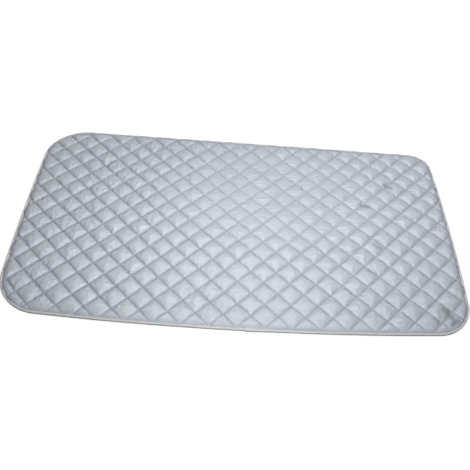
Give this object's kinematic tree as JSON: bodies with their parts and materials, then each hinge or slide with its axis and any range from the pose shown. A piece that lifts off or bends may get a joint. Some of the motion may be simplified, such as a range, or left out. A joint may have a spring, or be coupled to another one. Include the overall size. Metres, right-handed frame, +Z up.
{
  "type": "quilted ironing pad",
  "caption": "Flat rectangular ironing mat with rounded corners, a diamond-quilted silver-grey face, wadding, plain backing and a sewn edge binding.",
  "frame": {"origin": "middle of the underside, on the surface that the pad lies on", "axes": "+X along the long side, +Y to the back edge, away from the edge with the lapped join of the binding, +Z up through the layers"},
  "size_m": [0.85, 0.4805, 0.0074],
  "materials": {
    "coated_cloth": "silver-coated plain weave with a soft sheen",
    "wadding": "matt needled fibre",
    "backing_cloth": "matt plain weave",
    "binding_tape": "matt ribbed tape",
    "quilting_thread": "twisted polyester thread",
    "bobbin_thread": "twisted polyester thread",
    "binding_thread": "twisted polyester thread"
  },
  "bodies": {
    "root": {"backing": "backing_cloth", "wadding": "wadding", "top_cover": "coated_cloth", "edge_binding": "binding_tape", "quilting_needle_thread_rising": "quilting_thread", "quilting_needle_thread_falling": "quilting_thread", "quilting_bobbin_thread_rising": "bobbin_thread", "quilting_bobbin_thread_falling": "bobbin_thread", "binding_needle_thread": "binding_thread", "binding_bobbin_thread": "binding_thread"}
  },
  "joints": []
}
